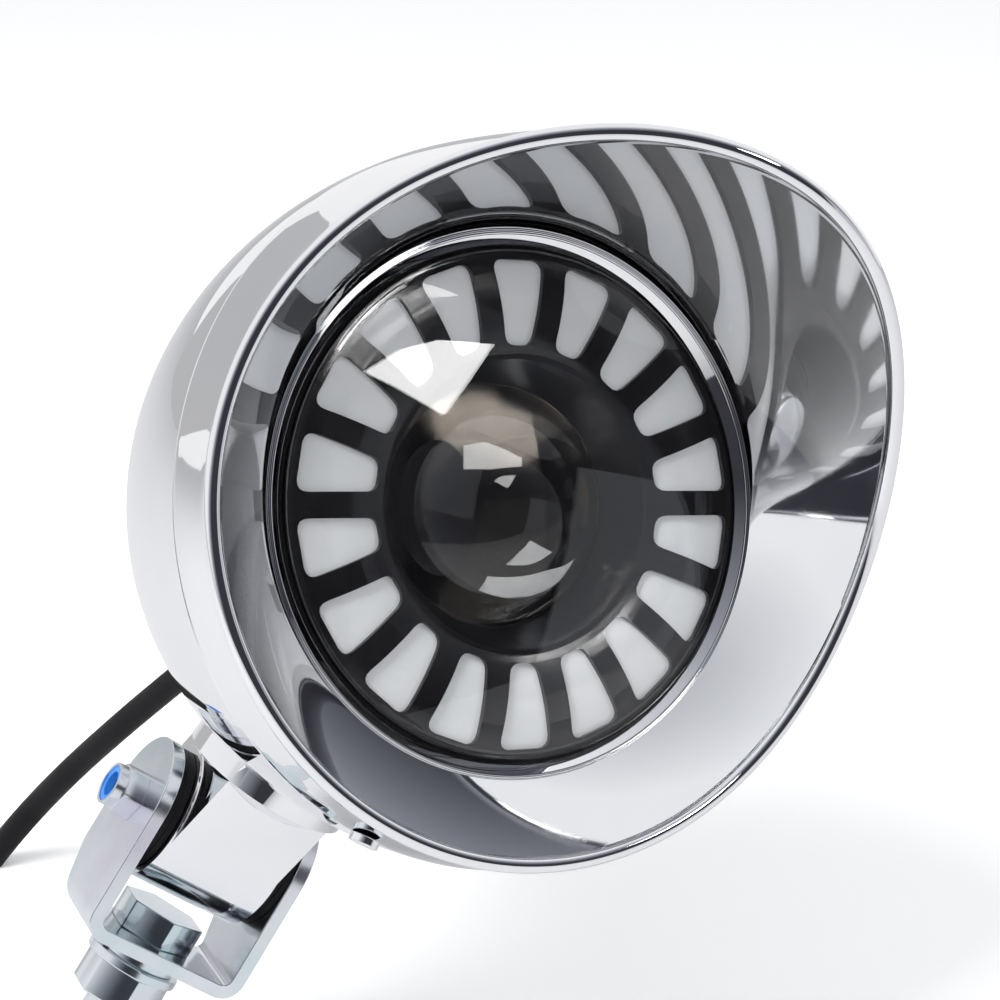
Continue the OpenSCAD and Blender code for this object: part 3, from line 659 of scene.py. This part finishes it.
milk_radii = [MASK_IN + MILK_GAP + (MASK_R - MASK_IN - MILK_CUT) * i / 32 for i in range(33)]
milk_profile = [(r, crown(r) - MASK_T) for r in milk_radii]
milk_profile += [(milk_radii[-1], MILK_BACK), (milk_radii[0], MILK_BACK)]
milk = lathe("milk_ring", milk_profile)
milk.data.materials.append(milky)
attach(milk, "lamp")
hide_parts("diffuser_ring")
print("light ring from", round(milk_radii[0], 1), "to", round(milk_radii[-1], 1), "mm")

# %% [markdown]
# ## Fasteners, bracket and foot
# The bracket is folded strap, the foot is cast and the rest are bought fasteners. Their forms are
# already right in the CAD model and only their edges are too sharp. A copy of each mesh gets a
# small bevel, which catches the light as a real edge does, and stands for the node. Each row gives
# the width of the bevel in millimetres and the finish.

# %% Bracket and fasteners
EASED = {
    "u_bracket": (0.35, zinc), "lock_nut": (0.25, zinc), "mount_bolt": (0.4, zinc), "mount_nut": (0.4, zinc),
    "spring_washer": (0.2, zinc), "flat_washer": (0.25, zinc), "cross_bolt": (0.35, yellow_zinc),
    "rubber_washers": (0.25, rubber), "nylon_ring": (0.2, blue_nylon), "knuckle_foot": (0.8, chrome),
    "cord_grommet": (0.3, rubber), "ring_screw": (0.2, chrome),
}
node_body = {n: b for b, names in frame["record"]["behaviour"]["bodies"].items() for n in names}
for node, (bevel, finish) in EASED.items():
    piece = dressed(node, bevel)
    piece.data.materials.clear()
    piece.data.materials.append(finish)
    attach(piece, node_body[node])
print("eased", len(EASED))

# %% [markdown]
# ## Finishes of the pieces that keep their CAD form
# What lies deep in the lamp or is plainly turned keeps its CAD mesh, and only its material changes.
# The mask and its cone are glossy black, which gives the dark bars between the bright windows.

# %% Plain nodes
PLAIN = {
    "window_mask": gloss_black, "ring_led_board": green_board, "ring_leds": led_yellow,
    "lens_shroud": gloss_black, "lens_holder": matt_black, "reflector_bowl": reflector_shade_metal,
    "main_led_board": green_board, "main_led": led_yellow, "module_tube": matt_black, "heat_sink": aluminium,
    "driver_box": matt_black, "mouth_ring": zinc, "foot_bolt": zinc, "foot_bolt_washer": zinc,
    "cord_sleeve": rubber, "lead_wires": red_lead, "lead_terminals": brass,
}
for node, finish in PLAIN.items():
    piece = frame["nodes"][node]
    piece.data.materials.clear()
    piece.data.materials.append(finish)
cord.data.materials.append(rubber)
print("plain", len(PLAIN))

# %% [markdown]
# ## The table
# The lamp stood on a white table when it was photographed, leaning as the camera's roll says, so the
# floor's normal follows the camera's upright and not the stud. A weak glow that only the camera
# sees keeps the table white and leaves it its shadow, and from below the table is clear. Chrome
# mirrors it a little darker, or the foot and the bracket would lose their outline.

# %% Floor
TABLE_LEAN = 24.0
FLOOR_SIZE = 4.0
FLOOR_GLOW = 0.17
LAMP_MIDDLE, FLOOR_DROP = Vector((0.02, 0.02, 0.12)), 0.098
lean = math.radians(TABLE_LEAN)
floor_normal = (up * math.cos(lean) + backward * math.sin(lean)).normalized()
floor_place = LAMP_MIDDLE - floor_normal * FLOOR_DROP


def sheet_of(name, corners):
    """A flat sheet with the given corners in metres."""
    mesh = bpy.data.meshes.new(name)
    mesh.from_pydata([Vector(c) for c in corners], [], [tuple(range(len(corners)))])
    sheet = bpy.data.objects.new(name, mesh)
    bpy.context.scene.collection.objects.link(sheet)
    return sheet


def square_at(place, normal, size):
    """Corners of a square with its middle at a place."""
    turn = normal.to_track_quat("Z", "Y").to_matrix()
    half = size / 2
    corners = ((-half, -half, 0), (half, -half, 0), (half, half, 0), (-half, half, 0))
    return [place + turn @ Vector(c) for c in corners]


floor = sheet_of("floor", square_at(floor_place, floor_normal, FLOOR_SIZE))
floor_finish, tree, shader = new_material("white_table")
shader.inputs["Roughness"].default_value = 0.9
shader.inputs["Specular IOR Level"].default_value = 0.1
shader.inputs["Emission Color"].default_value = (1, 1, 1, 1)
path = tree.nodes.new("ShaderNodeLightPath")
facing = tree.nodes.new("ShaderNodeNewGeometry")
paper = place_group(tree, grain, Scale=30.0)
tone = ramp_between(tree, paper.outputs["Tone"], [(0.2, (0.90, 0.90, 0.905)), (0.8, (0.93, 0.93, 0.93))])
in_mirror = add(tree, "ShaderNodeMix", data_type="RGBA")
tree.links.new(path.outputs["Is Glossy Ray"], in_mirror.inputs["Factor"])
tree.links.new(tone, in_mirror.inputs[6])
in_mirror.inputs[7].default_value = (0.66, 0.66, 0.67, 1)
tree.links.new(in_mirror.outputs[2], shader.inputs["Base Color"])
seen_from_below = combine(tree, "MULTIPLY", facing.outputs["Backfacing"], path.outputs["Is Camera Ray"])
tree.links.new(combine(tree, "SUBTRACT", 1.0, seen_from_below), shader.inputs["Alpha"])
tree.links.new(combine(tree, "MULTIPLY", path.outputs["Is Camera Ray"], FLOOR_GLOW),
               shader.inputs["Emission Strength"])
floor.data.materials.append(floor_finish)
print("floor normal", [round(v, 2) for v in floor_normal])

# %% [markdown]
# ## The room
# One background serves three kinds of ray. The camera sees plain white, and diffuse light is pale
# and even. A ray that has met only mirrors and glass gets white at the back, the left and above, and
# near black in front, where the photographer stood, through a soft edge. That gives the bars and the
# lens their blacks. Diffuse Depth tells such a ray: it is 0 until the ray has met a dull surface.

# %% Room
DARK_SIDE = Vector((0.22, -1.0, -0.12)).normalized()
world = bpy.data.worlds.new("room")
bpy.context.scene.world = world
world.use_nodes = True
sky = world.node_tree
sky_shader = sky.nodes["Background"]
heading = sky.nodes.new("ShaderNodeTexCoord")
toward = add(sky, "ShaderNodeVectorMath", operation="DOT_PRODUCT")
sky.links.new(heading.outputs["Generated"], toward.inputs[0])
toward.inputs[1].default_value = DARK_SIDE
room = ramp_between(sky, stretch(sky, toward.outputs["Value"], -1.0, 1.0, 0.0, 1.0), [
    (0.0, (0.97, 0.97, 0.98)), (0.55, (0.92, 0.93, 0.95)), (0.74, (0.30, 0.31, 0.35)),
    (0.88, (0.04, 0.04, 0.05)),
])
path = sky.nodes.new("ShaderNodeLightPath")
plain = add(sky, "ShaderNodeMix", data_type="RGBA")
sky.links.new(path.outputs["Is Camera Ray"], plain.inputs["Factor"])
plain.inputs[6].default_value = (0.72, 0.73, 0.74, 1)
plain.inputs[7].default_value = (1, 1, 1, 1)
mirrored = combine(sky, "MAXIMUM", path.outputs["Is Glossy Ray"], path.outputs["Is Transmission Ray"])
undimmed = combine(sky, "LESS_THAN", path.outputs["Diffuse Depth"], 0.5)
seen = add(sky, "ShaderNodeMix", data_type="RGBA")
sky.links.new(combine(sky, "MULTIPLY", mirrored, undimmed), seen.inputs["Factor"])
sky.links.new(plain.outputs[2], seen.inputs[6])
sky.links.new(room, seen.inputs[7])
sky.links.new(seen.outputs[2], sky_shader.inputs["Color"])
print("dark side", [round(v, 2) for v in DARK_SIDE])

# %% [markdown]
# ## Lamps
# A soft key lamp stands to the left of the camera and above it, and a weaker one fills from the
# right. They light the dull pieces and give the floor its shadow, but they are kept out of mirrors
# and glass, where they would show as hard squares.

# %% Lamps
AIM = Vector((0, -0.03, 0.13))


def soft_lamp(name, direction, distance, size, power):
    """A soft square lamp that lights the piece but isn't seen in it."""
    data = bpy.data.lights.new(name, "AREA")
    data.shape = "RECTANGLE"
    data.size = data.size_y = size
    data.energy = power
    item = bpy.data.objects.new(name, data)
    place = AIM + Vector(direction).normalized() * distance
    item.matrix_world = Matrix.Translation(place) @ (place - AIM).to_track_quat("Z", "Y").to_matrix().to_4x4()
    item.visible_camera = False
    item.visible_glossy = False
    item.visible_transmission = False
    bpy.context.scene.collection.objects.link(item)


soft_lamp("key_box", backward * 0.62 + up * 0.62 - right * 0.48, distance=1.0, size=0.5, power=9)
soft_lamp("fill_box", backward * 0.5 + right * 0.8 + up * 0.3, distance=1.2, size=0.8, power=3)
print("lamps", len(bpy.data.lights))

# %% [markdown]
# ## Cards
# Cards of light take the lamps' place in mirrors and glass. The one in front repeats the outline of
# the highlight on the front glass: its corners are where the glass sends the camera's view. The
# lens has its own card, worked out in the same way, which only rays through the glass see. A card at
# the right front gives the haze on that half of the glass, and a grey panel behind to the left gives
# the housing and the ring their grey band.

# %% Light cards


def card(name, corners, colour, strength):
    """A card that only mirrors and glass see."""
    sheet = sheet_of(name, corners)
    finish, card_tree, card_shader = new_material(name)
    card_shader.inputs["Base Color"].default_value = (0, 0, 0, 1)
    card_shader.inputs["Roughness"].default_value = 1.0
    card_shader.inputs["Specular IOR Level"].default_value = 0.0
    card_shader.inputs["Emission Color"].default_value = (*colour, 1)
    ray = card_tree.nodes.new("ShaderNodeLightPath")
    clean = combine(card_tree, "LESS_THAN", ray.outputs["Diffuse Depth"], 0.5)
    card_tree.links.new(combine(card_tree, "MULTIPLY", clean, strength), card_shader.inputs["Emission Strength"])
    sheet.data.materials.append(finish)
    sheet.visible_camera = False
    sheet.visible_diffuse = False
    sheet.visible_shadow = False
    return sheet


card("front_box", [(-0.052, -0.894, 0.689), (0.0, -0.849, 0.759), (0.072, -0.807, 0.810),
                   (0.189, -0.756, 0.846), (0.171, -0.824, 0.768), (0.150, -0.882, 0.686),
                   (0.032, -0.893, 0.692)], (1, 1, 1), 14.0)
card("right_haze", square_at(Vector((0.75, -0.65, 0.48)), Vector((-0.72, 0.62, -0.3)), 0.55),
     (0.9, 0.93, 1.0), 0.6)
card("back_panel", square_at(Vector((-0.62, 1.02, 0.16)), Vector((0.5, -0.86, 0.0)), 0.75),
     (0.52, 0.52, 0.53), 1.0)
lens_box = card("lens_box", [(-0.505, -0.576, 0.841), (-0.201, -0.522, 1.011), (0.166, -0.405, 1.069),
                             (0.222, -0.628, 0.931), (-0.126, -0.810, 0.787), (-0.448, -0.810, 0.626)],
                (1, 1, 1), 16.0)
lens_box.visible_glossy = False
